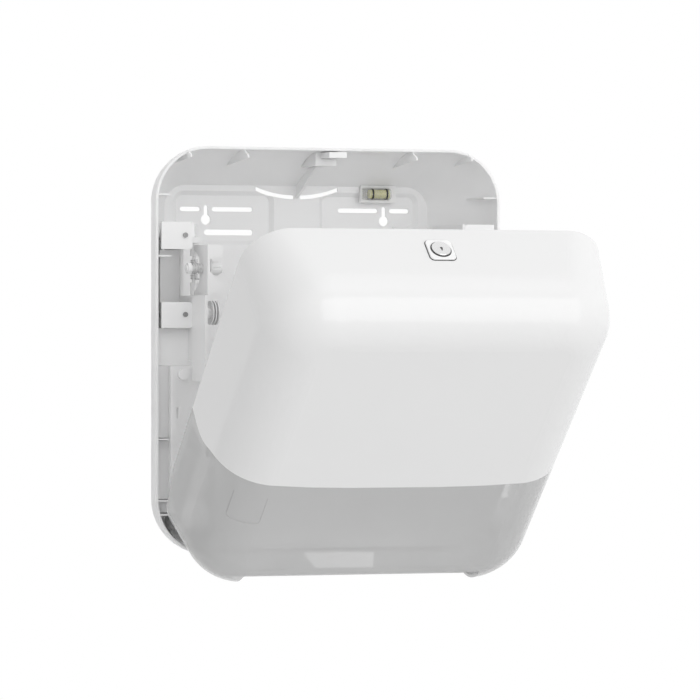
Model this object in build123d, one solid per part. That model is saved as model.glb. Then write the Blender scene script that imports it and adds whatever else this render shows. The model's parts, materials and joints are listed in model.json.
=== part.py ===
from build123d import *
from math import atan, cos, pi, radians, sin, sqrt
import os

# A wall-mounted towel-roll dispenser with its cover tipped open.
# Frame: the wall is the plane y = 0, the front is -Y, +Z is up and X runs to the right seen
# from the front.  The origin is the middle of the housing on the wall.  Millimetres.

# ---------------------------------------------------------------- driving dimensions
body_width = 337.0            # housing and cover across the rim
body_height = 372.0           # housing and cover at the rim
tray_depth = 96.5             # wall to the rim plane
cover_depth = 99.4            # rim plane to the cover's front, at mid height
front_lean = 0.03             # the cover's front leans out by this much per mm of height
wall = 2.5                    # moulded wall of housing and cover
rim_corner = 50.0             # housing corner radius at the rim
cover_corner = 40.5           # cover corner radius at the rim
cover_draft = 0.097           # side walls of the cover draw in by this much per mm of depth
front_round = 47.0            # rounding between the cover's front and its four walls
front_corner = 6.0            # corner radius left on the flat of the front
tray_bow = 88.0               # radius of the housing's bulging side wall
tray_bow_depth = 40.0         # depth over which the wall bulges before it runs straight
floor_lift = 4.0              # main floor stands this far off the wall, on its pads
lean_z = 0.84                 # top and bottom walls draw in less than the side walls
floor_corner_share = 0.75     # how much of the draw-in the corner radius gives up

open_angle = 44.3             # how far the cover tips open
hinge_out = 28.6              # hinge axis in front of the rim plane
hinge_up = 18.4               # hinge axis above the bottom of the body
hinge_pin_r = 3.0
run_gap = 0.05                # radial clearance of a running fit
slip = 0.3                    # gap between pieces that move past each other
seat = 0.1                    # gap between fixed pieces that are slipped together

rim_y = -tray_depth
floor_front = -(floor_lift + wall)
hinge_y = rim_y - hinge_out
hinge_z = -body_height / 2 + hinge_up
half_wide = body_width / 2
half_high = body_height / 2
roll_z = half_high - 111.5    # level of the roll's axis
drum_z = 94.0 - half_high     # level of the cutter drum's axis
web_x = (34.5 - half_wide, 37.0 - half_wide)            # inner wall of the side frame
plate_in, plate_thick = half_wide - 59.1, 2.5           # bearing plates, inner face
module_x = (14.9 - half_wide, -plate_in - plate_thick - seat)      # box beside the drum
module_z = (drum_z - 55.5, drum_z + 77.8)


# ---------------------------------------------------------------- small helpers
def block(x0, x1, y0, y1, z0, z1):
    """A box between two corners."""
    centre = Location(((x0 + x1) / 2, (y0 + y1) / 2, (z0 + z1) / 2))
    return centre * Box(abs(x1 - x0), abs(y1 - y0), abs(z1 - z0))


def rod_x(radius, x0, x1, y, z):
    return Location(((x0 + x1) / 2, y, z)) * Rot(0, 90, 0) * Cylinder(radius, abs(x1 - x0))


def rod_y(radius, y0, y1, x, z):
    return Location((x, (y0 + y1) / 2, z)) * Rot(90, 0, 0) * Cylinder(radius, abs(y1 - y0))


def rod_z(radius, z0, z1, x, y):
    return Location((x, y, (z0 + z1) / 2)) * Cylinder(radius, abs(z1 - z0))


def facing(y, lean=0.0, z=0.0):
    """Plane across the depth at y: local x is +X, local y is +Z (leaning forward by lean)."""
    return Plane(origin=(0, y, z), x_dir=(1, 0, 0), z_dir=(0, -1, -lean))


def side_plate(points, x0, x1):
    """A plate between x0 and x1 with its outline given as (y, z) points."""
    wire = Polyline([(x0, y, z) for y, z in points], close=True)
    return extrude(make_face(wire), amount=x1 - x0, dir=(1, 0, 0))


def front_plate(points, y0, y1):
    """A plate between y0 and y1 with its outline given as (x, z) points."""
    wire = Polyline([(x, y0, z) for x, z in points], close=True)
    return extrude(make_face(wire), amount=y1 - y0, dir=(0, 1, 0))


def coil(radius, wire_r, height, turns):
    """A round-wire coil that starts at the origin and rises along +Z."""
    path = Helix(pitch=height / turns, height=height, radius=radius)
    return sweep(Plane(path @ 0, z_dir=path % 0) * Circle(wire_r), path=path, is_frenet=True)


def handed(shape, side):
    """The left-hand shape as it is for side -1, mirrored to the right for side +1."""
    return shape if side < 0 else mirror(shape, about=Plane.YZ)


def save(name, shape):
    shape.label = name
    export_step(shape, f"parts/{name}.step")


def save_pair(name, shape):
    for side, hand in ((-1, "left"), (1, "right")):
        save(f"{name}_{hand}", handed(shape, side))


os.makedirs("parts", exist_ok=True)


# ---------------------------------------------------------------- housing walls
def draw_in(depth):
    """How far the housing's side wall has come inward, depth mm behind the rim."""
    bowed = min(depth, tray_bow_depth)
    inset = tray_bow - sqrt(tray_bow ** 2 - bowed ** 2)
    slope = tray_bow_depth / sqrt(tray_bow ** 2 - tray_bow_depth ** 2)
    return inset + max(0.0, depth - tray_bow_depth) * slope


def tray_section(depth, skin):
    inset = draw_in(max(depth, 0.0))
    width = body_width - 2 * (inset + skin)
    height = body_height - 2 * (inset * lean_z + skin)
    corner = rim_corner - inset * floor_corner_share - skin
    return facing(rim_y + depth) * RectangleRounded(width, height, corner)


def tray_block(skin, front, back):
    """Solid filling the housing from depth front to depth back, skin mm inside its outside."""
    stops = [front] + [d for d in (10, 20, 30, tray_bow_depth, 58, 76) if front < d < back]
    return loft([tray_section(d, skin) for d in stops + [back]])


# ---------------------------------------------------------------- cover walls
def cover_outline(out, skin):
    """Rounded outline of the closed cover, out mm in front of the rim plane."""
    corner_growth = (front_corner + front_round - cover_corner) / (cover_depth - front_round)
    corner = cover_corner + corner_growth * out - skin
    width = body_width - 2 * (cover_draft * out + skin)
    lean = front_lean * max(out, 0.0) / cover_depth
    return facing(rim_y - out, lean) * RectangleRounded(width, body_height - 2 * skin, corner)


def cover_block(skin, first=0.0):
    """Solid filling the closed cover, skin mm inside its outside."""
    full = loft([cover_outline(first, skin), cover_outline(cover_depth - skin, skin)], ruled=True)
    front = full.faces().sort_by(Axis.Y)[0]
    return fillet(front.edges(), front_round - skin)


def opened(shape):
    """The closed cover's pieces as they stand with the cover tipped open."""
    return shape.rotate(Axis((0, hinge_y, hinge_z), (1, 0, 0)), open_angle)


# ---------------------------------------------------------------- rear housing
pad_x = (26.5, half_wide - 50.5)         # wall pads, left and right of the middle
pad_upper = (half_high - 83.5, half_high - 41.6)
pad_lower = (40.0 - half_high, 90.0 - half_high)
pad_step = (half_wide - 71.5, half_high - 69.0)         # the upper pad steps in below here
pad_areas = ((*pad_x, pad_step[1], pad_upper[1]), (pad_x[0], pad_step[0], *pad_upper),
             (*pad_x, *pad_lower))
pad_slope = 4.0
pad_corner = 6.0
spine_half = 18.0             # middle rib that also lies on the wall
spine_z = (46.0 - half_high, half_high - 94.0)
key_x, key_z, key_r = half_wide - 79.8, pad_upper[1] - 22.5, 4.8
key_stem_half, key_stem_top = 2.1, key_z + 13.5
slot_z, slot_half = pad_upper[1] - 12.9, 2.1
outer_slot = (key_x + 5.6, key_x + 25.5)
inner_slot = (42.4, key_x - 5.9)
low_slot_z, low_slot_half = pad_upper[0] + 7.5, 2.6
low_slot = (42.1, pad_step[0] - 6.5)
arc_half, arc_low, arc_rise, arc_band_half = 41.0, half_high - 42.8, 7.8, 1.8
arc_bridge = 3.0
latch_low = half_high - 15.8
fin_thick, fin_long = 1.6, 51.0
fin_places = (half_wide - 86.1, half_wide - 31.0)
fin_drop, nose_out, nose_drop = 15.5, 9.0, 10.4         # fin's deep end, its nose past the rim
nose_line = ((1.0, 3.6), (-2.0, 5.4), (-7.0, 7.0), (-nose_out, nose_drop))
rib_long = 45.0
rib_sets = ((13.0, (half_high - 44.3, half_high - 100.1)),         # reach and levels
            (10.5, (105.0 - half_high, 49.2 - half_high, 36.6 - half_high)))
strut_half, strut_foot, strut_front = 1.2, half_high - 48.0, -60.0
tab_screw_x, tab_screw_z = half_wide - 28.0, (half_high - 81.2, half_high - 153.4)
tab_thick = 2.5
boss_r, screw_r, screw_head_r = 4.0, 1.5, 2.3
screw_deep = 15.0


def pad_frustum(x0, x1, z0, z1, grow_front, y_front, grow_back, y_back):
    def outline(y, grow):
        sketch = RectangleRounded(x1 - x0 + 2 * grow, z1 - z0 + 2 * grow, pad_corner + grow)
        return facing(y) * Pos((x0 + x1) / 2, (z0 + z1) / 2) * sketch
    return loft([outline(y_front, grow_front), outline(y_back, grow_back)], ruled=True)


def long_slot(x0, x1, z, half):
    """Cutter for a round-ended slot through the housing's floor."""
    y0, y1 = floor_front - 1, 1
    ends = rod_y(half, y0, y1, x0 + half, z) + rod_y(half, y0, y1, x1 - half, z)
    return block(x0 + half, x1 - half, y0, y1, z - half, z + half) + ends


def keyhole(x):
    y0, y1 = floor_front - 1, 1
    stem_end = key_stem_top - key_stem_half
    stem = block(x - key_stem_half, x + key_stem_half, y0, y1, key_z, stem_end)
    return rod_y(key_r, y0, y1, x, key_z) + stem + rod_y(key_stem_half, y0, y1, x, stem_end)


def levelling_slot():
    """Curved slot across the middle of the floor, broken by a small bridge."""
    radius = (arc_half ** 2 + arc_rise ** 2) / (2 * arc_rise)
    y0, y1 = floor_front - 1, 1
    middle = arc_low + radius
    band = rod_y(radius + arc_band_half, y0, y1, 0, middle)
    band -= rod_y(radius - arc_band_half, y0, y1, 0, middle)
    low, top = arc_low - 2 * arc_band_half, arc_low + arc_rise + 2 * arc_band_half
    half = (band & block(arc_bridge, arc_half, y0, y1, low, top))
    return half + mirror(half, about=Plane.YZ)


housing_outside = tray_block(0, 0, tray_depth - floor_lift)
housing_hollow = tray_block(wall, -2, tray_depth + floor_front)
room = tray_block(wall + seat, 0, tray_depth + floor_front - seat)
room += block(-body_width, body_width, rim_y - 2 * tray_depth, rim_y, -body_height, body_height)
nose_room = block(-half_wide, half_wide, rim_y - 2 * nose_out, rim_y + 1, 0,
                  half_high - wall - seat)

wall_pads = Part()
pad_hollows = block(-spine_half + wall, spine_half - wall, floor_front - 1, -wall,
                    spine_z[0] + wall, spine_z[1] - wall)
for area in pad_areas:
    outer = pad_frustum(*area, pad_slope + wall, floor_front, wall / 2, 0)
    inner = pad_frustum(*area, pad_slope, floor_front - 0.01, 0, -wall)
    wall_pads += outer + mirror(outer, about=Plane.YZ)
    pad_hollows += inner + mirror(inner, about=Plane.YZ)
holes = levelling_slot()
for side in (-1, 1):
    holes += keyhole(side * key_x)
    for reach, z, half in ((outer_slot, slot_z, slot_half), (inner_slot, slot_z, slot_half),
                           (low_slot, low_slot_z, low_slot_half)):
        x0, x1 = sorted((side * reach[0], side * reach[1]))
        holes += long_slot(x0, x1, z, half)

ribs = side_plate([(-wall, strut_foot), (floor_front - 0.5, strut_foot + 4),
                   (strut_front, latch_low - seat), (-wall, latch_low - seat)],
                  -strut_half, strut_half)
fin_line = [(rim_y + out, half_high - drop) for out, drop in nose_line]
fin_line += [(rim_y + fin_long, half_high - fin_drop), (rim_y + fin_long, half_high),
             (rim_y + 1, half_high)]
fins = Part()
screw_holes = Part()
for side in (-1, 1):
    for x in fin_places:
        fins += side_plate(fin_line, side * x - fin_thick / 2, side * x + fin_thick / 2)
    for reach, levels in rib_sets:
        for z in levels:
            edge = half_wide - wall - reach
            ribs += block(side * edge, side * half_wide, rim_y + 1.5, rim_y + rib_long,
                          z - fin_thick / 2, z + fin_thick / 2)
    for z in tab_screw_z:
        ribs += rod_y(boss_r, rim_y + tab_thick, -floor_lift, side * tab_screw_x, z)
        screw_holes += rod_y(screw_r + run_gap, rim_y, rim_y + screw_deep + 2,
                             side * tab_screw_x, z)
housing = housing_outside - housing_hollow
housing += wall_pads + block(-spine_half, spine_half, floor_front, 0, *spine_z)
housing -= pad_hollows
housing += ((ribs + fins) & housing_outside) + (fins & nose_room)
housing -= holes + screw_holes
save("rear_housing", housing)

# ---------------------------------------------------------------- latch and spirit level
latch_x = (-10.0, 10.4)
latch_y = (-84.9, -44.0)
latch_z = (latch_low, half_high - 3.3)
tongue_x, tongue_root_x = (-5.0, 12.0), (-4.0, 8.0)
tongue_front, tongue_root = rim_y - 11.5, 5.0
tongue_z = (half_high - 9.4, half_high - 4.2)
lock_out = 27.5
lock_y = rim_y - lock_out
cam_half, finger_in, finger_out, finger_top = 2.0, 20.6, 24.0, half_high - 6.0
catch_gap, catch_end = 0.4, -2.6        # room around the finger, end of its slot in the tongue
level_x = (half_wide - 106.2, half_wide - 70.9)
level_z = (half_high - 47.1, half_high - 30.7)
level_front = -11.5
vial_r, vial_bore = 4.9, 4.2
vial_x = (level_x[0] + 1.6, level_x[1] - 6.6)
bore_x = (vial_x[0] + 5.7, vial_x[1] - 1.3)
vial_y, vial_z = -13.2, half_high - 38.9
ring_offset, ring_wide, ring_thick = 7.0, 1.4, 0.25

latch_tongue = block(*tongue_x, tongue_front, latch_y[0] - seat, *tongue_z)
latch_tongue += block(*tongue_root_x, latch_y[0] - 0.5, latch_y[0] + tongue_root, *tongue_z)
catch = rod_z(finger_out + catch_gap, tongue_z[0] - 1, finger_top + catch_gap, 0, lock_y)
catch -= rod_z(finger_in - catch_gap, tongue_z[0] - 2, finger_top + 2, 0, lock_y)
latch_tongue -= catch & block(catch_end, tongue_x[1] + 1, lock_y, latch_y[0] - 1,
                              tongue_z[0] - 1, half_high)
latch_block = block(*latch_x, *latch_y, *latch_z) & room
latch_block -= block(tongue_root_x[0] - seat, tongue_root_x[1] + seat, latch_y[0] - 1,
                     latch_y[0] + tongue_root + seat, tongue_z[0] - seat, tongue_z[1] + seat)
save("latch_tongue", latch_tongue)
save("latch_block", latch_block)

level_frame = block(*level_x, level_front, floor_front - seat, *level_z)
pocket_half = vial_r + ring_thick + seat
level_frame -= block(vial_x[0] - seat, vial_x[1] + seat, level_front - 1,
                     vial_y + pocket_half, vial_z - pocket_half, vial_z + pocket_half)
level_frame &= room
level_vial = rod_x(vial_r, *vial_x, vial_y, vial_z)
level_vial -= rod_x(vial_bore, *bore_x, vial_y, vial_z)
bore_middle = (bore_x[0] + bore_x[1]) / 2
bubble = Pos(bore_middle, vial_y, vial_z + vial_bore - 1.3) * scale(Sphere(1.6), (2.4, 1, 0.8))
level_liquid = rod_x(vial_bore - run_gap, bore_x[0] + seat, bore_x[1] - seat, vial_y, vial_z)
level_liquid -= bubble
level_rings = Part()
for side in (-1, 1):
    x = bore_middle + side * ring_offset
    ring = rod_x(vial_r + ring_thick, x - ring_wide / 2, x + ring_wide / 2, vial_y, vial_z)
    level_rings += ring - rod_x(vial_r + 0.02, x - ring_wide, x + ring_wide, vial_y, vial_z)
save("level_frame", level_frame)
save("level_vial", level_vial)
save("level_liquid", level_liquid)
save("level_rings", level_rings)

# ---------------------------------------------------------------- side frames and roll arms
web_top, web_low = roll_z + 42.5, module_z[1] + 4.2
lug_levels = ((roll_z - 29.5, roll_z - 24.5), (roll_z + 23.5, roll_z + 28.5))
web_notch_y, web_front_low = -64.0, module_z[1] - 13.8
web_line = [(-16, web_top), (rim_y + 0.5, web_top), (rim_y + 0.5, lug_levels[1][1]),
            (web_notch_y, lug_levels[1][1]), (web_notch_y, lug_levels[0][1]),
            (-133, lug_levels[0][1]), (-133, web_front_low), (rim_y - 0.5, web_front_low),
            (rim_y - 0.5, web_low), (-16, web_low)]
tab_out = 5.5 - half_wide
tab_levels = ((tab_screw_z[0] - 12.8, tab_screw_z[0] + 12.1),
              (tab_screw_z[1] - 12.3, tab_screw_z[1] + 11.3))
tab_corner = 3.0
recess_y, recess_out, recess_thick = -58.0, web_x[0] - 18.5, 2.0
apron_y = -84.0               # plate below the lower tab
arm_pivot_x, arm_pivot_y, arm_pin_r = web_x[1] + 5.7, -78.0, 1.5
lug_front, lug_back = arm_pivot_y - 5.0, -66.0
lug_in = arm_pivot_x + 4.3
stiffener_y = (-110.0, -86.0, -40.0)
arm_thick = 2.5
arm_x = (arm_pivot_x - arm_thick / 2, arm_pivot_x + arm_thick / 2)
arm_top, arm_low = roll_z + 21.5, lug_levels[0][1] + slip
arm_front, arm_waist = -120.0, -97.0
cheek_in = arm_pivot_x + 13.8
knuckle_r, knuckle_long = 3.6, 11.7
knuckles = ((arm_low, arm_low + knuckle_long),
            (lug_levels[1][0] - slip - knuckle_long, lug_levels[1][0] - slip))
hub_y = -104.0
axle_r = 3.0
hub_x = (arm_x[1] + 3.5, arm_x[1] + 14.5)
hub_flange_r, hub_flange, hub_r, flute_r = 9.0, 2.0, 6.6, 1.4
nut_r, nut_x = 5.0, (web_x[0] - 7.0, web_x[0] - 4.0)
brake_y, brake_z = -97.8, roll_z - 40.3
brake_stem_r, brake_sleeve_r, brake_sleeve_in = 6.0, 8.5, web_x[1] + 10.5
brake_disc_x = (brake_sleeve_in + 3.5, brake_sleeve_in + 9.7)
brake_rings, brake_ring_r, brake_ring_thick, brake_core_r = 3, 11.0, 0.9, 5.0
brake_stem_out = web_x[1] + 4.0

side_frame = side_plate(web_line, *web_x)
for z0, z1 in tab_levels:
    tab = block(tab_out, web_x[0] + 0.5, rim_y, rim_y + tab_thick, z0, z1)
    side_frame += fillet(tab.edges().filter_by(Axis.Y).sort_by(Axis.X)[-2:], tab_corner)
side_frame += block(recess_out, web_x[0] + 0.5, recess_y - recess_thick, recess_y,
                    tab_levels[1][1] + seat, tab_levels[0][0] - seat)
side_frame += block(tab_out, web_x[0] + 0.5, apron_y - recess_thick, apron_y,
                    module_z[1] + slip, tab_levels[1][0] - seat)
for z0, z1 in lug_levels:
    side_frame += block(web_x[0] + 0.5, lug_in, lug_front, lug_back, z0, z1)
for z in tab_screw_z:
    side_frame -= rod_y(screw_r + run_gap, rim_y - 1, rim_y + 4, -tab_screw_x, z)
for y in stiffener_y:
    side_frame += block(web_x[1] - 0.5, web_x[1] + 2, y, y + 1.6, web_low + 2, lug_levels[0][0])
for z0, z1 in lug_levels:
    side_frame -= rod_z(arm_pin_r + run_gap, z0 - 1, z1 + 1, arm_pivot_x, arm_pivot_y)
right_frame = handed(side_frame, 1)
left_frame = side_frame - rod_x(brake_sleeve_r + 0.5, web_x[1], web_x[1] + 2.1, brake_y, brake_z)
left_frame += rod_x(brake_sleeve_r, web_x[1] - 0.5, brake_sleeve_in, brake_y, brake_z)
left_frame -= rod_x(brake_stem_r + run_gap, web_x[1], brake_sleeve_in + 1, brake_y, brake_z)
save("side_frame_left", left_frame)
save("side_frame_right", right_frame)

frame_screws = Part()
for side in (-1, 1):
    for z in tab_screw_z:
        head = rod_y(screw_head_r, rim_y - 1.6, rim_y - 0.02, side * tab_screw_x, z)
        for turn in (0, 90):
            slot = Box(screw_head_r * 1.3, 1.6, 0.7).rotate(Axis.Y, turn)
            head -= Pos(side * tab_screw_x, rim_y - 1.6, z) * slot
        frame_screws += head + rod_y(screw_r, rim_y - 0.1, rim_y + screw_deep,
                                     side * tab_screw_x, z)
save("frame_screws", frame_screws)

save_pair("arm_pin", rod_z(arm_pin_r, lug_levels[0][0] - 1.5, lug_levels[1][1] + 1.5,
                           arm_pivot_x, arm_pivot_y))

knuckle_back = arm_pivot_y - knuckle_r
arm = side_plate([(arm_front, arm_top), (knuckle_back, arm_top), (knuckle_back, arm_top - 4),
                  (arm_waist, roll_z + 9.5), (arm_waist, roll_z - 11.5),
                  (knuckle_back, arm_low + 2), (knuckle_back, arm_low), (arm_front, arm_low)],
                 *arm_x)
for z0, z1 in knuckles:
    arm += block(*arm_x, knuckle_back - 1, arm_pivot_y, max(z0, arm_low), min(z1, arm_top))
    arm += rod_z(knuckle_r, z0, z1, arm_pivot_x, arm_pivot_y)
arm += front_plate([(arm_x[0], arm_top), (cheek_in - 3.5, arm_top), (cheek_in, arm_top - 4.5),
                    (cheek_in, roll_z + 9.5), (arm_x[0], roll_z + 9.5)],
                   arm_front, arm_front + arm_thick)
arm += block(arm_x[0], cheek_in - 3.5, arm_front, arm_waist, arm_top - arm_thick, arm_top)
cheek_low = [(arm_x[1], arm_low), (cheek_in - 1.5, arm_low + 5.5), (cheek_in, roll_z - 17.0)]
arm += front_plate([(arm_x[0], arm_low), *cheek_low, (arm_x[1], roll_z - 3.0),
                    (arm_x[0], roll_z - 3.0)], arm_front, arm_front + arm_thick)
arm += front_plate([(arm_x[1] - 0.5, arm_low), *cheek_low[:2], (cheek_in - 1.5, arm_low + 8),
                    (arm_x[1] - 0.5, arm_low + 2.5)], arm_front, arm_waist - 3)
arm -= rod_x(axle_r + run_gap, arm_x[0] - 1, arm_x[1] + 1, hub_y, roll_z)
arm -= rod_z(arm_pin_r + run_gap, lug_levels[0][0], lug_levels[1][1], arm_pivot_x, arm_pivot_y)
save_pair("roll_arm", arm)

spring_r, spring_wire = 3.0, 0.5
spring_z = (roll_z - 9.5, roll_z + 8.5)
arm_spring = Pos(arm_pivot_x, arm_pivot_y, spring_z[0]) * coil(
    spring_r, spring_wire, spring_z[1] - spring_z[0], 12)
leg_end = arm_pivot_x + spring_r
leg_wire = spring_wire + 0.08
arm_spring += rod_y(leg_wire, arm_pivot_y - 22, arm_pivot_y + 0.6, leg_end, spring_z[0])
arm_spring += rod_y(leg_wire, arm_pivot_y - 0.6, arm_pivot_y + 9, leg_end, spring_z[1])
save_pair("arm_spring", arm_spring)

hub = rod_x(hub_flange_r, hub_x[0], hub_x[0] + hub_flange, hub_y, roll_z)
barrel = rod_x(hub_r, hub_x[0], hub_x[1], hub_y, roll_z)
hub += chamfer(barrel.edges().sort_by(Axis.X)[-1], 1.6)
for turn in range(6):
    way = radians(60 * turn)
    hub -= rod_x(flute_r, hub_x[0] + hub_flange, hub_x[1] + 1, hub_y + hub_r * cos(way),
                 roll_z + hub_r * sin(way))
hub -= rod_x(axle_r + run_gap, hub_x[0] - 1, hub_x[1] + 1, hub_y, roll_z)
save_pair("roll_hub", hub)

hub_axle = rod_x(axle_r, nut_x[0] - 1.5, hub_x[1] + 1.5, hub_y, roll_z)
hub_axle += rod_x(axle_r + 1.2, hub_x[1] + seat, hub_x[1] + 1.5, hub_y, roll_z)
hub_axle += rod_x(nut_r, *nut_x, hub_y, roll_z)
save_pair("hub_axle", hub_axle)

spring_start = nut_x[1] + slip
hub_spring_long = arm_x[0] - spring_start - 1.55
hub_spring = Pos(spring_start + 0.6, hub_y, roll_z) * Rot(0, 90, 0) * coil(
    4.2, 0.6, hub_spring_long, 4)
save_pair("hub_spring", hub_spring)

brake_stem = rod_x(brake_stem_r, brake_stem_out, brake_disc_x[0], brake_y, brake_z)
brake_stem -= rod_x(brake_stem_r - 1.8, brake_stem_out - 1, brake_disc_x[0] - 2,
                    brake_y, brake_z)
brake_disc = rod_x(brake_core_r, *brake_disc_x, brake_y, brake_z)
ring_step = (brake_disc_x[1] - brake_disc_x[0] - brake_ring_thick) / (brake_rings - 1)
for i in range(brake_rings):
    x = brake_disc_x[0] + i * ring_step
    brake_disc += rod_x(brake_ring_r, x, x + brake_ring_thick, brake_y, brake_z)
save("brake_stem", brake_stem)
save("brake_disc", brake_disc)

# ---------------------------------------------------------------- drum and pressure roller
drum_y, drum_r, drum_half = -92.0, 44.0, plate_in - 8.4
drum_wall, drum_axle_r = 3.0, 4.0
roller_r, roller_half, roller_shaft_r = 10.0, drum_half - 4.0, 3.0
teeth_drum, teeth_roller = 44, 10
pinch_gap = 0.45
roller_way = radians(-45)     # direction from the drum's axis to the roller's
centre_distance = drum_r + roller_r + pinch_gap
roller_y = drum_y + centre_distance * cos(roller_way)
roller_z = drum_z + centre_distance * sin(roller_way)
tooth_module = 2 * centre_distance / (teeth_drum + teeth_roller)
gear_x = (-plate_in + 2.2, -drum_half - 1.4)
cap_thick = 4.0
blade_thick, blade_half, blade_tip = 1.2, drum_half - 11.0, 43.2
tooth_pitch, tooth_deep = 6.0, 4.0
axle_end = plate_in + plate_thick + 5.1


def gear_wheel(teeth, y, z, bore, tooth_at):
    """Spur wheel on an axis along X, with one tooth centred at the angle tooth_at."""
    pitch = teeth * tooth_module / 2
    base = pitch * cos(radians(20))
    tip, root = pitch + 0.85 * tooth_module, pitch - 1.1 * tooth_module
    first = max(base, root)
    half_at_pitch = (pi / 2 - 0.09) / teeth

    def spread(r):
        turn = sqrt(max((r / base) ** 2 - 1, 0))
        return turn - atan(turn)

    steps = [first + (tip - first) * i / 4 for i in range(5)]
    flank = [(r, half_at_pitch + spread(pitch) - spread(r)) for r in steps]
    if root < first:
        flank = [(root, flank[0][1])] + flank
    points = []
    for tooth in range(round(teeth)):
        middle = radians(tooth_at) + 2 * pi * tooth / round(teeth)
        points += [(r * cos(middle - half), r * sin(middle - half)) for r, half in flank]
        points += [(r * cos(middle + half), r * sin(middle + half)) for r, half in flank[::-1]]
    wheel = side_plate([(y + a, z + b) for a, b in points], *gear_x)
    return wheel - rod_x(bore, gear_x[0] - 1, gear_x[1] + 1, y, z)


tube = rod_x(drum_r, -drum_half, drum_half, drum_y, drum_z)
tube -= rod_x(drum_r - drum_wall, -drum_half - 1, drum_half + 1, drum_y, drum_z)
tube -= block(-blade_half - 4, blade_half + 4, drum_y - drum_r - 1, drum_y - drum_r + 10,
              drum_z - 4, drum_z + 4)
front_half = block(-drum_half - 1, drum_half + 1, drum_y - drum_r - 1, drum_y - seat / 2,
                   drum_z - drum_r - 1, drum_z + drum_r + 1)
rear_half = block(-drum_half - 1, drum_half + 1, drum_y + seat / 2, drum_y + drum_r + 1,
                  drum_z - drum_r - 1, drum_z + drum_r + 1)
save("drum_shell_front", tube & front_half)
save("drum_shell_rear", tube & rear_half)

caps = Part()
for side in (-1, 1):
    outer, inner = side * drum_half, side * (drum_half - cap_thick)
    cap = rod_x(drum_r - drum_wall - seat, inner, outer, drum_y, drum_z)
    for turn in range(6):
        way = radians(60 * turn + 30)
        cap -= rod_x(8, inner - 1, outer + 1, drum_y + 24 * cos(way), drum_z + 24 * sin(way))
    caps += cap - rod_x(drum_axle_r + run_gap, inner - side, outer + side, drum_y, drum_z)
save("drum_caps", caps)
save("drum_axle", rod_x(drum_axle_r, -axle_end, axle_end, drum_y, drum_z))

carrier_half = drum_half - cap_thick - seat
blade_back = drum_y - drum_r + 18
carrier = block(-carrier_half, carrier_half, blade_back - 4, drum_y - drum_axle_r - 1,
                drum_z - 4, drum_z + 4)
carrier -= block(-blade_half - 1, blade_half + 1, blade_back - 5, blade_back + seat,
                 drum_z - blade_thick / 2 - seat, drum_z + blade_thick / 2 + seat)
save("blade_carrier", carrier)

tip_y = drum_y - blade_tip
count = round(2 * blade_half / tooth_pitch)
tooth_step = 2 * blade_half / count
edge = []
for i in range(count):
    x = -blade_half + i * tooth_step
    edge += [(x, tip_y + tooth_deep), (x + tooth_step / 2, tip_y)]
edge += [(blade_half, tip_y + tooth_deep), (blade_half, blade_back), (-blade_half, blade_back)]
blade_low = drum_z - blade_thick / 2
blade_wire = Polyline([(x, y, blade_low) for x, y in edge], close=True)
save("cutter_blade", extrude(make_face(blade_wire), amount=blade_thick, dir=(0, 0, 1)))

save("drum_gear", gear_wheel(teeth_drum, drum_y, drum_z, drum_axle_r + run_gap, -45))
save("roller_gear", gear_wheel(teeth_roller, roller_y, roller_z, roller_shaft_r + run_gap,
                               135 + 180 / teeth_roller))
pressure_roller = rod_x(roller_r, -roller_half, roller_half, roller_y, roller_z)
pressure_roller -= rod_x(roller_shaft_r + run_gap, -roller_half - 1, roller_half + 1,
                         roller_y, roller_z)
save("pressure_roller", pressure_roller)
save("roller_shaft", rod_x(roller_shaft_r, -axle_end, axle_end, roller_y, roller_z))

plate_line = [(-9, 52), (-112, 52), (-136, 26), (-136, -28), (-114, -70), (-70, -74), (-9, -28)]
bearing_plate = side_plate([(y, drum_z + up) for y, up in plate_line],
                           -plate_in - plate_thick, -plate_in)
bearing_plate &= room
for radius, y, z in ((drum_axle_r, drum_y, drum_z), (roller_shaft_r, roller_y, roller_z)):
    bearing_plate += rod_x(radius + 4, -plate_in, -plate_in + 1.2, y, z)
    bearing_plate -= rod_x(radius + run_gap, -plate_in - 5, -plate_in + 5, y, z)
save_pair("bearing_plate", bearing_plate)

# ---------------------------------------------------------------- gear covers and exit guide
module_front = rim_y + 1.5
wing_set, wing_thick, wing_slit = 8.0, 2.0, 0.5         # wing that closes the gap to the wall
module_port = (module_x[0] + 6.0, drum_z + 30.0, drum_z + 40.0)    # small slot in its front
knob_r, knob_out, knob_x, knob_z = 5.0, 3.0, module_x[0] + 11.3, module_z[1] - 7.8
guide_half, guide_thick = plate_in - 0.8, 2.2
guide_line = ((-80.0, drum_z - 58.0), (-109.5, drum_z - 84.7))

cover_hollow = tray_block(2 * wall + seat, 0, tray_depth + floor_front - seat)
gear_cover = block(*module_x, module_front, floor_front - seat, *module_z) & room
wing = block(-half_wide, module_x[0] + 1, module_front + wing_set,
             module_front + wing_set + wing_thick, *module_z) & room
for z in rib_sets[1][1]:
    half = fin_thick / 2 + wing_slit
    wing -= block(-half_wide, module_x[0], rim_y, floor_front, z - half, z + half)
gear_cover += wing
gear_cover -= block(module_x[0] + wall, module_x[1] - wall, module_front + wall, 0,
                    module_z[0] + wall, module_z[1] - wall) & cover_hollow
for radius, y, z in ((drum_axle_r, drum_y, drum_z), (roller_shaft_r, roller_y, roller_z)):
    gear_cover -= rod_x(radius + 2, module_x[1] - 8, module_x[1] + 1, y, z)
gear_cover += rod_y(knob_r, module_front - knob_out, module_front + wall, knob_x, knob_z)
gear_cover -= block(module_port[0] - 1, module_port[0] + 1, module_front - 1,
                    module_front + 1.2, *module_port[1:])
save_pair("gear_cover", gear_cover)

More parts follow.
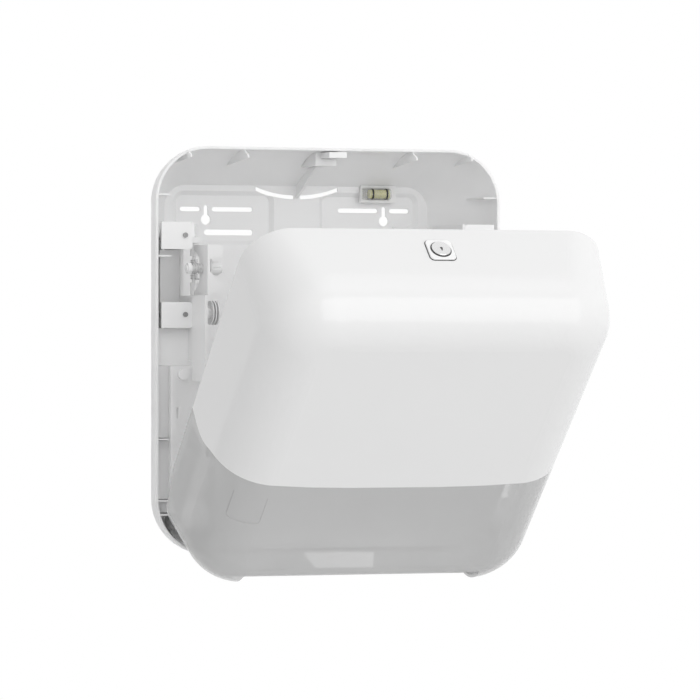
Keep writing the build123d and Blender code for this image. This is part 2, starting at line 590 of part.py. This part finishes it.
(y0, z0), (y1, z1) = guide_line
exit_guide = side_plate([(y0, z0), (y1, z1), (y1, z1 - guide_thick * 1.35),
                         (y0, z0 - guide_thick * 1.35)], -guide_half, guide_half)
save("exit_guide", exit_guide)

# ---------------------------------------------------------------- hinge
bracket_x = (23.5 - half_wide, 28.5 - half_wide)
eye_r = 6.4
foot_thick, foot_x, foot_y = 2.5, (bracket_x[0] + 1, bracket_x[1] + 14), (-84.0, -52.0)
ear_x = (bracket_x[0] - 4.0, bracket_x[0] - 1.0)
ear_r = 8.0
pin_x = (ear_x[0] - 0.2, bracket_x[1] + 1.5)
bracket_top = hinge_z + 19.1

bracket = side_plate([(hinge_y - 4.9, hinge_z + 3.1), (hinge_y + 4.1, hinge_z + 15.6),
                      (rim_y - 3.5, bracket_top), (rim_y + 46.5, bracket_top),
                      (rim_y + 46.5, hinge_z + 3.6), (rim_y - 1.5, hinge_z + 3.6),
                      (rim_y - 2.5, hinge_z + 7.6), (hinge_y + 5.6, hinge_z + 7.6)],
                     *bracket_x) & room
bracket += rod_x(eye_r, *bracket_x, hinge_y, hinge_z)
foot_shell = room - tray_block(wall + seat + foot_thick, 0, tray_depth)
bracket += block(*foot_x, *foot_y, -half_high, bracket_top) & foot_shell
bracket -= rod_x(hinge_pin_r + run_gap, bracket_x[0] - 1, bracket_x[1] + 1, hinge_y, hinge_z)
save_pair("hinge_bracket", bracket)
hinge_pin = rod_x(hinge_pin_r, *pin_x, hinge_y, hinge_z)
hinge_pin += rod_x(hinge_pin_r + 1.6, bracket_x[1] + seat, pin_x[1], hinge_y, hinge_z)
save_pair("hinge_pin", hinge_pin)

# ---------------------------------------------------------------- cover, modelled closed
lock_r, lock_bezel_half, lock_bezel_corner, bezel_thick = 8.6, 12.0, 4.0, 1.6
collar_r, collar_low = 10.5, half_high - 10.0
cylinder_top, cylinder_low = half_high + 3.4, half_high - 21.0
cam_thick, key_hole_r, key_half, key_deep = 3.0, 1.2, 0.55, 5.0
beyond = 14.0                 # how far cutters run past what they cut
seam_middle, seam_turn = 150.9 - half_high, half_wide - 18.5
# The seam across the front, as (in from the side, rise), and down the sides, as (out, rise).
seam_front = ((127.5, 0), (87.5, 1.1), (68.5, 2.5), (56.5, 3.5), (43.5, 4.3), (32.5, 4.6),
              (18.5, 4.4))
seam_side = ((83, 4.4), (73, 4.1), (65, 3.5), (58, 2.3), (51, 0.4), (45, -1.8), (38, -3.7),
             (32, -4.6), (26, -4.4), (20, -3.3), (14, -1.6), (8, 0.6), (1.6, 2.8), (-5, 5.0))
notch_half, notch_top, notch_corner = half_wide - 54.5, 35.0 - half_high, 5.0
bar_p, bar_cut_p = (29.5, 66.0), 57.0   # bar left across the notch, and how far its gap goes
bar_gap = (37.0, 28.0)                  # half width of the gap, behind and in front
relief = ((slip, 4), (slip, 81), (2, 68), (5, 54), (8.5, 41), (9.6, 21), (10, -4))
groove_x = (21.5 - half_wide, 50.0 - half_wide)
groove_z, groove_corner = (104.5 - half_high, 152.5 - half_high), 5.0
groove_open = 15.0            # length of the outline left away at its top
groove_deep, groove_half = 0.5, 0.4
arm_p, arm_plate_z = (3.0, 30.0), (hinge_z + 28.6, hinge_z + 117.6)
shelf_p, shelf_z = (12.0, 44.0), (hinge_z + 25.6, hinge_z + 28.6)
guard_p, guard_thick, guard_half = 44.0, 2.5, -bracket_x[1] - 6.0
guard_z, guard_wing, guard_ribs = (hinge_z + 0.6, hinge_z + 135.6), 14.0, 11

cover_outside = cover_block(0)
cover_skin = cover_outside - cover_block(wall, -1.0)
relief_line = [(rim_y - relief[0][0], half_high + beyond)]
relief_line += [(rim_y - p, up - half_high) for p, up in relief[1:]]
relief_line += [(rim_y + beyond, relief[-1][1] - half_high), (rim_y + beyond, half_high + beyond)]
behind = side_plate(relief_line, -half_wide - beyond, half_wide + beyond)
notch = block(-notch_half, notch_half, rim_y - cover_depth - beyond, rim_y + beyond,
              -half_high - beyond, notch_top)
notch = fillet(notch.edges().filter_by(Axis.Y).group_by(Axis.Z)[-1], notch_corner)
bar = block(-notch_half - wall, notch_half + wall, rim_y - bar_p[1], rim_y - bar_p[0],
            -half_high - beyond, -half_high + 2 * wall)
gap_line = [(-bar_gap[0], rim_y - bar_p[0] + 1), (bar_gap[0], rim_y - bar_p[0] + 1),
            (bar_gap[1], rim_y - bar_cut_p), (-bar_gap[1], rim_y - bar_cut_p)]
gap_wire = Polyline([(x, y, -half_high - beyond) for x, y in gap_line], close=True)
bar -= extrude(make_face(gap_wire), amount=2 * beyond, dir=(0, 0, 1))
cover_skin -= behind + (notch - bar)

y_front, y_back, z_below = rim_y - cover_depth - beyond, rim_y + beyond, -half_high - beyond
front_line = [(half_wide - inset, seam_middle + rise) for inset, rise in seam_front]
lower = front_plate([(-x, z) for x, z in front_line[::-1]] + front_line
                    + [(seam_turn, z_below), (-seam_turn, z_below)], y_front, y_back)
side_points = [(rim_y - p, seam_middle + rise) for p, rise in seam_side]
side_low = side_plate(side_points + [(side_points[-1][0], z_below), (y_front, z_below),
                                     (y_front, side_points[0][1])],
                      -half_wide - beyond, -seam_turn)
lower += side_low + mirror(side_low, about=Plane.YZ)
window = cover_skin & lower
upper = cover_skin - lower
upper -= rod_z(collar_r + seat, collar_low, half_high + beyond, 0, lock_y)

tab_wide, tab_high = groove_x[1] - groove_x[0], groove_z[1] - groove_z[0]
tab_place = Pos(sum(groove_x) / 2, sum(groove_z) / 2)
outline = RectangleRounded(tab_wide + groove_half, tab_high + groove_half, groove_corner)
outline -= RectangleRounded(tab_wide - groove_half, tab_high - groove_half,
                            groove_corner - groove_half)
groove = extrude(facing(rim_y - cover_depth / 2) * tab_place * outline, amount=cover_depth,
                 dir=(0, -1, 0))
groove -= block(-half_wide, 0, y_front, rim_y, groove_z[1] - groove_open, half_high)
window -= groove & (cover_outside - cover_block(groove_deep))
save("cover_upper_shell", opened(upper))
save("cover_lower_window", opened(window))

inner_skin = cover_block(wall + seat, -1.0)
hinge_arm = block(-half_wide, bracket_x[1], rim_y - arm_p[1], rim_y - arm_p[0], *arm_plate_z)
hinge_arm &= inner_skin - cover_block(2 * wall + seat)
shelf = block(-half_wide, -guard_half - seat, rim_y - shelf_p[1], rim_y - shelf_p[0], *shelf_z)
ear = side_plate([(rim_y - shelf_p[1], shelf_z[1]), (rim_y - shelf_p[0], shelf_z[1]),
                  (rim_y - shelf_p[0] - 6, hinge_z + 12.6), (hinge_y + ear_r, hinge_z),
                  (hinge_y - ear_r, hinge_z)], *ear_x)
ear += rod_x(ear_r, *ear_x, hinge_y, hinge_z)
hinge_arm += (shelf + ear) & inner_skin
hinge_arm -= behind + rod_x(hinge_pin_r + run_gap, ear_x[0] - 1, ear_x[1] + 1, hinge_y, hinge_z)
for side, hand in ((-1, "left"), (1, "right")):
    save(f"cover_arm_{hand}", opened(handed(hinge_arm, side)))

guard_y = rim_y - guard_p
guard = block(-guard_half, guard_half, guard_y - guard_thick, guard_y, *guard_z)
for side in (-1, 1):
    guard += block(side * guard_half, side * (guard_half - guard_thick), guard_y - guard_thick,
                   guard_y + guard_wing, *guard_z)
rib_step = 2 * (guard_half - 34.0) / (guard_ribs - 1)
for i in range(guard_ribs):
    x = 34.0 - guard_half + i * rib_step
    guard += block(x - 0.8, x + 0.8, guard_y - 0.5, guard_y + 2, guard_z[0] + 7, guard_z[0] + 47)
save("front_guard", opened(guard))

bezel = Pos(0, lock_y, half_high + 0.02) * extrude(
    RectangleRounded(2 * lock_bezel_half, 2 * lock_bezel_half, lock_bezel_corner), bezel_thick)
bezel = chamfer(bezel.faces().sort_by(Axis.Z)[-1].edges(), 0.5)
bezel += rod_z(collar_r, collar_low, half_high + 0.5, 0, lock_y)
bezel -= rod_z(lock_r + run_gap, collar_low - 1, half_high + 5, 0, lock_y)
save("lock_bezel", opened(bezel))

cylinder = rod_z(lock_r, cylinder_low + cam_thick, cylinder_top, 0, lock_y)
cylinder = chamfer(cylinder.edges().sort_by(Axis.Z)[-1], 0.6)
cylinder -= rod_z(key_hole_r, cylinder_top - key_deep, cylinder_top + 1, 0, lock_y)
cylinder -= block(-key_half, key_half, lock_y - 3.2, lock_y, cylinder_top - key_deep,
                  cylinder_top + 1)
save("lock_cylinder", opened(cylinder))
cam_top = cylinder_low + cam_thick - 0.02
cam = block(0, finger_out, lock_y - cam_half, lock_y + cam_half, cylinder_low, cam_top)
cam += rod_z(lock_r - 1, cylinder_low, cam_top, 0, lock_y)
cam += block(finger_in, finger_out, lock_y - cam_half, lock_y + cam_half, cylinder_low,
             finger_top)
save("lock_cam", opened(cam))
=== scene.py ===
# %% [markdown]
# # A towel-roll dispenser, dressed for a studio render
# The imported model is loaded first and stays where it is.  The cells after it build the
# finishes, give each piece one of them, add two thin joints round the lock, and set up the
# light and the camera.  Everything is in metres: the wall is y = 0 and the front faces -Y.

# %% Load the frame
import bpy
import json
from math import cos, pi, radians, sin
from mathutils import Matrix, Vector


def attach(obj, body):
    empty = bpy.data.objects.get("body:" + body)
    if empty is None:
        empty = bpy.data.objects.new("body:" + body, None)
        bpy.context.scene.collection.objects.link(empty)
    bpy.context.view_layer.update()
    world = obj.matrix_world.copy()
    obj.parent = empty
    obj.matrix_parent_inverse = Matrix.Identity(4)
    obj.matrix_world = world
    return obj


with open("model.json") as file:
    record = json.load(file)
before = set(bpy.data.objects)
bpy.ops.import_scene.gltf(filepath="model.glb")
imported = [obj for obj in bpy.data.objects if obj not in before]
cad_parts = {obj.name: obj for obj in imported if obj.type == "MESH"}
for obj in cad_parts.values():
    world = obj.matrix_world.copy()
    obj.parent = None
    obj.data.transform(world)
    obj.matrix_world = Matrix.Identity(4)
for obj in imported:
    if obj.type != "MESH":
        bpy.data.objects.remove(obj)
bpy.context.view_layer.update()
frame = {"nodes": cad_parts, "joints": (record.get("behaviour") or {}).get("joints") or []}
nodes = frame["nodes"]

# %% [markdown]
# ## Shader maths as expressions
# A material is a small graph of nodes.  Wiring it by hand hides the idea, so one class wraps a
# node's output and lets Python's own operators build the Math nodes: `1 - mask` makes a
# Subtract node.  Numbers alone stay numbers, and colours go through Mix, because a Math node
# would turn them grey.

# %% The wrapper
class Socket:
    """An output of a node that can be used in arithmetic."""

    def __init__(self, graph, out):
        self.graph, self.out = graph, out

    def _math(self, operation, a, b):
        return self.graph.node("ShaderNodeMath", {"operation": operation}, {0: a, 1: b})

    def __add__(self, other):
        return self._math("ADD", self, other)

    def __radd__(self, other):
        return self._math("ADD", other, self)

    def __sub__(self, other):
        return self._math("SUBTRACT", self, other)

    def __rsub__(self, other):
        return self._math("SUBTRACT", other, self)

    def __mul__(self, other):
        return self._math("MULTIPLY", self, other)

    def __rmul__(self, other):
        return self._math("MULTIPLY", other, self)


class Graph:
    """A tree of shader nodes being built: node() adds any node to it."""

    def __init__(self, tree):
        self.tree = tree

    def node(self, kind, settings, values, output=0):
        """Add a node: its settings come first, then the values or links of its inputs.
        What comes back is the output that is asked for, ready for arithmetic."""
        made = self.tree.nodes.new(kind)
        for key, value in settings.items():
            setattr(made, key, value)
        for key, value in values.items():
            if isinstance(value, Socket):
                self.tree.links.new(value.out, made.inputs[key])
            else:
                made.inputs[key].default_value = value
        return Socket(self, made.outputs[output])

    def close(self, end, shader):
        """Lead the finished shader into the node that ends the tree."""
        self.tree.links.new(shader.out, self.tree.nodes[end].inputs["Surface"])

    def seen_directly(self):
        """1 for rays that come from the camera, a shiny surface or clear plastic, else 0."""
        total = 0.0
        for kind in ("Is Camera Ray", "Is Glossy Ray", "Is Transmission Ray"):
            ray = self.node("ShaderNodeLightPath", {}, {}, kind)
            total = self.node("ShaderNodeMath", {"operation": "MAXIMUM"}, {0: total, 1: ray})
        return total


class Paint(Graph):
    first_colour, second_colour, mixed_colour = 6, 7, 2      # the Mix node's colour sockets

    def __init__(self, name):
        self.material = bpy.data.materials.new(name)
        self.material.use_nodes = True
        super().__init__(self.material.node_tree)
        self.shader = self.tree.nodes["Principled BSDF"]
        self.place = self.node("ShaderNodeTexCoord", {}, {}, "Object")

    def noise(self, scale, detail=2.0):
        """Cloudy noise from 0 to 1 that is fixed to the object: scale is its waves a metre."""
        return self.node("ShaderNodeTexNoise", {},
                         {"Vector": self.place, "Scale": scale, "Detail": detail})

    def mix(self, share, first, second):
        """Blend of two colours: a share of 0 gives the first, and 1 the second."""
        return self.node("ShaderNodeMix", {"data_type": "RGBA"},
                         {0: share, self.first_colour: first, self.second_colour: second},
                         self.mixed_colour)

    def bump(self, height, strength, distance):
        """A normal that leans as if the surface rose with height."""
        return self.node("ShaderNodeBump", {},
                         {"Height": height, "Strength": strength, "Distance": distance})

    def finish(self, **sockets):
        """Set the shader's sockets by name, such as base_color, to numbers or to nodes."""
        for name, value in sockets.items():
            socket = self.shader.inputs[name.replace("_", " ").title()]
            if isinstance(value, Socket):
                self.tree.links.new(value.out, socket)
            else:
                socket.default_value = value
        return self.material


def grey(level, blue=0.0):
    """A grey as an RGBA colour, which blue makes a little colder."""
    return (level, level, level + blue, 1.0)


print("shader helpers ready")

# %% [markdown]
# ## Moulded plastics
# Injection-moulded plastic is never one flat colour: the mould leaves a fine texture, the
# gloss wanders a little where the plastic flowed, and the colour drifts by a percent or two.
# Three noises at different scales give that: a large one for the colour, a middle one for the
# roughness and a very fine one for the bump.  The housing's thin unpainted wall also lets light
# through, which fills its corners, and subsurface scattering gives that.

# %% Plastic finishes
drift_waves, flow_waves = 9.0, 35.0       # how many times a metre colour and gloss wander
drift_share, flow_range = 0.9, 0.12       # how far they wander
fine_detail = 3.0                         # how many finer layers a noise gets, 2 elsewhere
grain_strength = 0.25
scatter_reach = 0.004                     # how far light wanders in milky plastic


def moulded(name, colour, shade, roughness, grain, grain_depth, coat=0.0, milky=0.0):
    """Plastic whose colour drifts towards shade: grain is the texture's waves a metre, and
    milky is the share of light that wanders in the wall instead of stopping at its face."""
    paint = Paint(name)
    drift = paint.noise(drift_waves)
    flow = paint.noise(flow_waves, fine_detail)
    texture = paint.noise(grain, fine_detail)
    return paint.finish(base_color=paint.mix(drift * drift_share, colour, shade),
                        roughness=roughness + (flow - 0.5) * flow_range,
                        normal=paint.bump(texture, grain_strength, grain_depth),
                        coat_weight=coat, coat_roughness=0.06, subsurface_weight=milky,
                        subsurface_radius=(1.0, 1.0, 1.0), subsurface_scale=scatter_reach)


cover_white = moulded("cover_gloss_white", grey(0.84), grey(0.82), roughness=0.16,
                      grain=900.0, grain_depth=0.00002, coat=0.5)
housing_grey = moulded("housing_satin", grey(0.93), grey(0.91, 0.003), roughness=0.42,
                       grain=1400.0, grain_depth=0.00005, milky=0.8)
frame_white = moulded("frame_satin_white", grey(0.93), grey(0.91), roughness=0.38,
                      grain=1400.0, grain_depth=0.00005)
module_grey = moulded("module_satin", grey(0.92), grey(0.90), roughness=0.45,
                      grain=1400.0, grain_depth=0.00005)
rubber = moulded("roller_rubber", grey(0.09), grey(0.12), roughness=0.75,
                 grain=2500.0, grain_depth=0.0001)
print("plastics:", [m.name for m in (cover_white, housing_grey, frame_white, module_grey,
                                     rubber)])

# %% [markdown]
# ## Smoked window
# The lower part of the cover is tinted plastic that light passes through.  Alpha mixes the
# plastic's own grey with what stands behind it, so two walls one behind the other hide more
# than one.  It is fast and it exports, where full refraction is slow and a thin wall hardly
# bends the light anyway.

# %% Smoked plastic
tint_waves, gloss_waves, skin_waves = 14.0, 50.0, 1100.0     # waves a metre
gloss, gloss_range = 0.12, 0.08           # the roughness, and how far it wanders
alpha_range = 0.04
skin_strength, skin_depth = 0.2, 0.00002


def smoked(name, colour, shade, alpha):
    """Clear or tinted plastic: alpha is the share of what lies behind it that it hides."""
    paint = Paint(name)
    drift = paint.noise(tint_waves)
    flow = paint.noise(gloss_waves, fine_detail)
    skin = paint.noise(skin_waves)
    return paint.finish(base_color=paint.mix(drift, colour, shade),
                        roughness=gloss + (flow - 0.5) * gloss_range,
                        normal=paint.bump(skin, skin_strength, skin_depth),
                        alpha=alpha + (drift - 0.5) * alpha_range, coat_weight=0.5,
                        coat_roughness=0.05)


window_smoke = smoked("window_smoke", grey(0.66), grey(0.60), alpha=0.60)
vial_clear = smoked("vial_clear", grey(0.93), grey(0.90), alpha=0.25)
print("see-through:", window_smoke.name, vial_clear.name)

# %% [markdown]
# ## Metals
# Turned and rolled steel shows fine lines along one direction.  Stretching the noise's
# coordinates along an axis gives lines without any image.  The screws have none: their stretch
# is the same along each axis.

# %% Metal finishes
line_waves, wear_waves = 600.0, 60.0      # how many lines and worn spots a metre holds
line_range, line_strength, line_depth = 0.2, 0.3, 0.00003


def steel(name, colour, shade, roughness, stretch):
    """Metal with fine lines: stretch is how each axis is scaled before the noise."""
    paint = Paint(name)
    lined = paint.node("ShaderNodeVectorMath", {"operation": "MULTIPLY"},
                       {0: paint.place, 1: stretch})
    lines = paint.node("ShaderNodeTexNoise", {},
                       {"Vector": lined, "Scale": line_waves, "Detail": fine_detail})
    wear = paint.noise(wear_waves)
    return paint.finish(base_color=paint.mix(wear, colour, shade), metallic=1.0,
                        roughness=roughness + (lines - 0.5) * line_range,
                        normal=paint.bump(lines, line_strength, line_depth))


lock_metal = steel("lock_turned", grey(0.80), grey(0.72), roughness=0.20, stretch=(1.0, 1.0, 0.1))
bright_steel = steel("rod_steel", grey(0.80), grey(0.72), roughness=0.34, stretch=(0.05, 1.0, 1.0))
dark_steel = steel("screw_dark", grey(0.36), grey(0.42), roughness=0.42, stretch=(1.0, 1.0, 1.0))
print("metals:", lock_metal.name, bright_steel.name, dark_steel.name)

# %% [markdown]
# ## Spirit level
# The liquid of a level is dyed so that its bubble stands out, and the two marks beside the
# bubble are black.  The dye drifts between a yellow and a green.  The marks are moulded plastic
# as above, in black, and that black also serves for the thin joints round the lock.

# %% Liquid and marks
dye_waves = 200.0
dye_yellow, dye_green = (0.66, 0.58, 0.02, 1.0), (0.52, 0.54, 0.02, 1.0)


def level_tint():
    """Dyed liquid that shines like the clear wall round it."""
    paint = Paint("level_liquid_green")
    drift = paint.noise(dye_waves)
    return paint.finish(base_color=paint.mix(drift, dye_yellow, dye_green),
                        roughness=0.12, coat_weight=0.4, coat_roughness=0.05)


liquid = level_tint()
ink = moulded("ring_ink", grey(0.02), grey(0.03), roughness=0.5, grain=2000.0,
              grain_depth=0.00002)
print("level:", liquid.name, ink.name)

# %% [markdown]
# ## Which piece gets which finish
# The model's solids carry plain stand-in materials.  Each is swapped for a finish above, by
# the role of the piece: the cover shines and the housing is satin.  The pins, shafts, springs
# and the blade aren't listed, and get plain steel.

# %% Give out the finishes
finishes = {
    cover_white: ["cover_upper_shell"],
    window_smoke: ["cover_lower_window"],
    housing_grey: ["rear_housing", "cover_arm_left", "cover_arm_right", "hinge_bracket_left",
                   "hinge_bracket_right", "exit_guide", "level_frame", "gear_cover_left",
                   "gear_cover_right", "latch_block"],
    frame_white: ["side_frame_left", "side_frame_right", "roll_arm_left", "roll_arm_right",
                  "roll_hub_left", "roll_hub_right", "hub_axle_left", "hub_axle_right",
                  "brake_disc", "brake_stem", "latch_tongue", "front_guard", "lock_bezel"],
    module_grey: ["bearing_plate_left", "bearing_plate_right", "drum_shell_front",
                  "drum_shell_rear", "drum_caps", "drum_gear", "roller_gear", "blade_carrier"],
    rubber: ["pressure_roller"],
    vial_clear: ["level_vial"],
    liquid: ["level_liquid"],
    ink: ["level_rings"],
    lock_metal: ["lock_cylinder", "lock_cam"],
    dark_steel: ["frame_screws"],
}
given = {name: material for material, names in finishes.items() for name in names}
for name, piece in nodes.items():
    piece.data.materials.clear()
    piece.data.materials.append(given.get(name, bright_steel))
print("dressed:", len(nodes), "of which steel by default:", len(set(nodes) - set(given)))

# %% [markdown]
# ## Rings round the lock
# A pressed-in lock plate leaves a fine dark joint where it meets the cover, and the turning
# cylinder leaves another in the plate.  Both are shadows in a gap too thin to model in the
# solids, so each is a low dark ring that lies on the surface beside its gap.  An outline is
# walked once, and four such loops (outer and inner, bottom and top) are joined into a ring.
# The rings are drawn on the shut cover, where the lock stands upright, and then tipped with it
# about the model's own hinge.

# %% Two thin rings
hinge_joint = next(joint for joint in frame["joints"] if joint["name"] == "cover_hinge")
hinge = Vector(hinge_joint["pos_m"])
cover_open = -radians(hinge_joint["range_deg"][0])           # it is shut at its lower limit
top_wall, lock_line = 0.186, -0.124       # the shut cover's top, and the lock's axis in y
plate_half, plate_corner = 0.012, 0.004   # half the plate's side, and its corners' radius
plate_top = 0.00162                       # how far the plate stands above the top wall
barrel_r = 0.0086
hair = 0.00002                            # keeps faces that would coincide apart
corner_steps = 8                          # straight pieces in each round corner


def tipped(x, y, z):
    """Where a point of the shut cover stands with the cover tipped open."""
    out, up = y - hinge.y, z - hinge.z
    return (x, hinge.y + out * cos(cover_open) - up * sin(cover_open),
            hinge.z + out * sin(cover_open) + up * cos(cover_open))


def rounded(half, corner):
    """Points round a square with round corners, about the lock's own axis."""
    points = []
    for quarter in range(4):
        middle = pi / 2 * quarter + pi / 4
        shift = (half - corner) * 2 ** 0.5
        for step in range(corner_steps + 1):
            way = pi / 2 * (quarter + step / corner_steps)
            points.append((shift * cos(middle) + corner * cos(way),
                           shift * sin(middle) + corner * sin(way)))
    return points


def ring(name, half, corner, gap, reach, low, high):
    """A closed ring round a rounded square, from gap to reach outside it and from low to
    high above the top wall."""
    inner, outer = (rounded(half + by, corner + by) for by in (gap, reach))
    loops = [(inner, low), (inner, high), (outer, high), (outer, low)]
    corners = [tipped(x, lock_line + y, top_wall + z) for line, z in loops for x, y in line]
    count = len(inner)
    faces = []
    for loop in range(4):
        above = (loop + 1) % 4
        for i in range(count):
            after = (i + 1) % count
            faces.append((loop * count + i, loop * count + after,
                          above * count + after, above * count + i))
    mesh = bpy.data.meshes.new(name)
    mesh.from_pydata(corners, [], faces)
    mesh.validate()
    piece = bpy.data.objects.new(name, mesh)
    bpy.context.scene.collection.objects.link(piece)
    mesh.materials.append(ink)
    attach(piece, "cover")
    return piece


# A square with corners of almost its own half side is a circle: its flats are one hair long.
barrel_corner = barrel_r - hair / 2
plate_joint = ring("lock_plate_joint", plate_half, plate_corner, gap=hair, reach=0.00065,
                   low=hair, high=0.0003)
barrel_joint = ring("lock_barrel_joint", barrel_r, barrel_corner, gap=0.00015, reach=0.001,
                    low=plate_top + hair / 2, high=0.0018)
print("rings:", plate_joint.name, len(plate_joint.data.polygons), "faces,",
      barrel_joint.name, len(barrel_joint.data.polygons), "faces")

# %% [markdown]
# ## Sky and floor
# The dispenser hangs on a wall, so the floor lies well below it.  What the camera, a mirror or
# clear plastic sees of the sky is plain white; the light that falls on the object comes from
# an even white sky that grows dimmer to the left and behind, as when a dark flag stands beside
# a light tent.  One gradient over the direction does that.

# %% Sky and floor
dim_level, full_level = 0.50, 0.98        # the sky's strength behind the flag and elsewhere
flag_end, sky_start = -0.7, 0.4           # where along the gradient they are reached
right_share, front_share = 0.65, 0.76     # which way the gradient runs

world = bpy.data.worlds.new("studio")
bpy.context.scene.world = world
world.use_nodes = True
sky = Graph(world.node_tree)
direction = sky.node("ShaderNodeTexCoord", {}, {}, "Generated")
to_right = sky.node("ShaderNodeSeparateXYZ", {}, {"Vector": direction}, "X")
to_back = sky.node("ShaderNodeSeparateXYZ", {}, {"Vector": direction}, "Y")
level = sky.node("ShaderNodeMapRange", {"interpolation_type": "SMOOTHSTEP"},
                 {"Value": to_right * right_share - to_back * front_share,
                  "From Min": flag_end, "From Max": sky_start,
                  "To Min": dim_level, "To Max": full_level})
dim_sky = sky.node("ShaderNodeBackground", {}, {"Color": grey(1.0), "Strength": level})
white_sky = sky.node("ShaderNodeBackground", {}, {"Color": grey(1.0), "Strength": 1.0})
sky.close("World Output", sky.node("ShaderNodeMixShader", {},
                                   {0: sky.seen_directly(), 1: dim_sky, 2: white_sky}))

floor_half, floor_z = 7.0, -1.0
floor_waves = 3.0
floor_glow = 0.7                          # plain white in what the camera sees of the floor
floor_mesh = bpy.data.meshes.new("studio_floor")
floor_mesh.from_pydata([(x * floor_half, y * floor_half, floor_z)
                        for x, y in ((-1, -1), (1, -1), (1, 1), (-1, 1))], [], [(0, 1, 2, 3)])
floor = bpy.data.objects.new("studio_floor", floor_mesh)
bpy.context.scene.collection.objects.link(floor)
floor_paint = Paint("floor_white")
floor_tint = floor_paint.mix(floor_paint.noise(floor_waves), grey(0.80), grey(0.82))
floor_paint.finish(base_color=floor_tint, roughness=0.7)
glow = floor_paint.node("ShaderNodeEmission", {}, {"Color": grey(1.0), "Strength": 1.0})
matt = Socket(floor_paint, floor_paint.shader.outputs[0])
floor_paint.close("Material Output", floor_paint.node(
    "ShaderNodeMixShader", {}, {0: floor_paint.seen_directly() * floor_glow, 1: matt, 2: glow}))
floor_mesh.materials.append(floor_paint.material)
print("sky nodes:", len(sky.tree.nodes), "floor at z =", floor_z)

# %% [markdown]
# ## Lamps
# The sky alone leaves the edges flat, so two weak lamps give them shape.  Both are large and
# soft.  The front one is three metres wide, because a smaller one shows in the glossy cover as
# a bar with hard edges.

# %% Lamps
lamp_aim = Vector((0, -0.15, 0))


def lamp(name, place, size, power):
    """A square area lamp of a size in metres and a power in watts, pointed at the object."""
    light = bpy.data.lights.new(name, "AREA")
    light.shape, light.size, light.energy = "SQUARE", size, power
    body = bpy.data.objects.new(name, light)
    bpy.context.scene.collection.objects.link(body)
    body.location = place
    body.rotation_euler = (lamp_aim - Vector(place)).to_track_quat("-Z", "Y").to_euler()
    return body


lamps = [lamp("key_above", (0.3, -1.3, 2.1), size=1.6, power=2),
         lamp("front_soft", (0.9, -3.4, 0.3), size=3.0, power=25)]
print("lamps:", [body.name for body in lamps])

# %% [markdown]
# ## Camera
# A long lens far away keeps the sides nearly parallel, as a catalogue picture has them.  It
# stands to the left and looks level, about twenty degrees off the object's front.

# %% Camera
camera_place, turn = (-1.5228, -4.2077, 0.0003), radians(20.563)
lens_mm, sensor_mm, far_clip = 245.2, 36.0, 60.0

lens_data = bpy.data.cameras.new("catalogue_lens")
lens_data.lens, lens_data.sensor_width, lens_data.clip_end = lens_mm, sensor_mm, far_clip
camera = bpy.data.objects.new("catalogue_camera", lens_data)
bpy.context.scene.collection.objects.link(camera)
camera.location = camera_place
camera.rotation_euler = (pi / 2, 0, -turn)
bpy.context.scene.camera = camera
bpy.context.scene.view_settings.view_transform = "Standard"
print("camera at", tuple(round(v, 3) for v in camera.location))
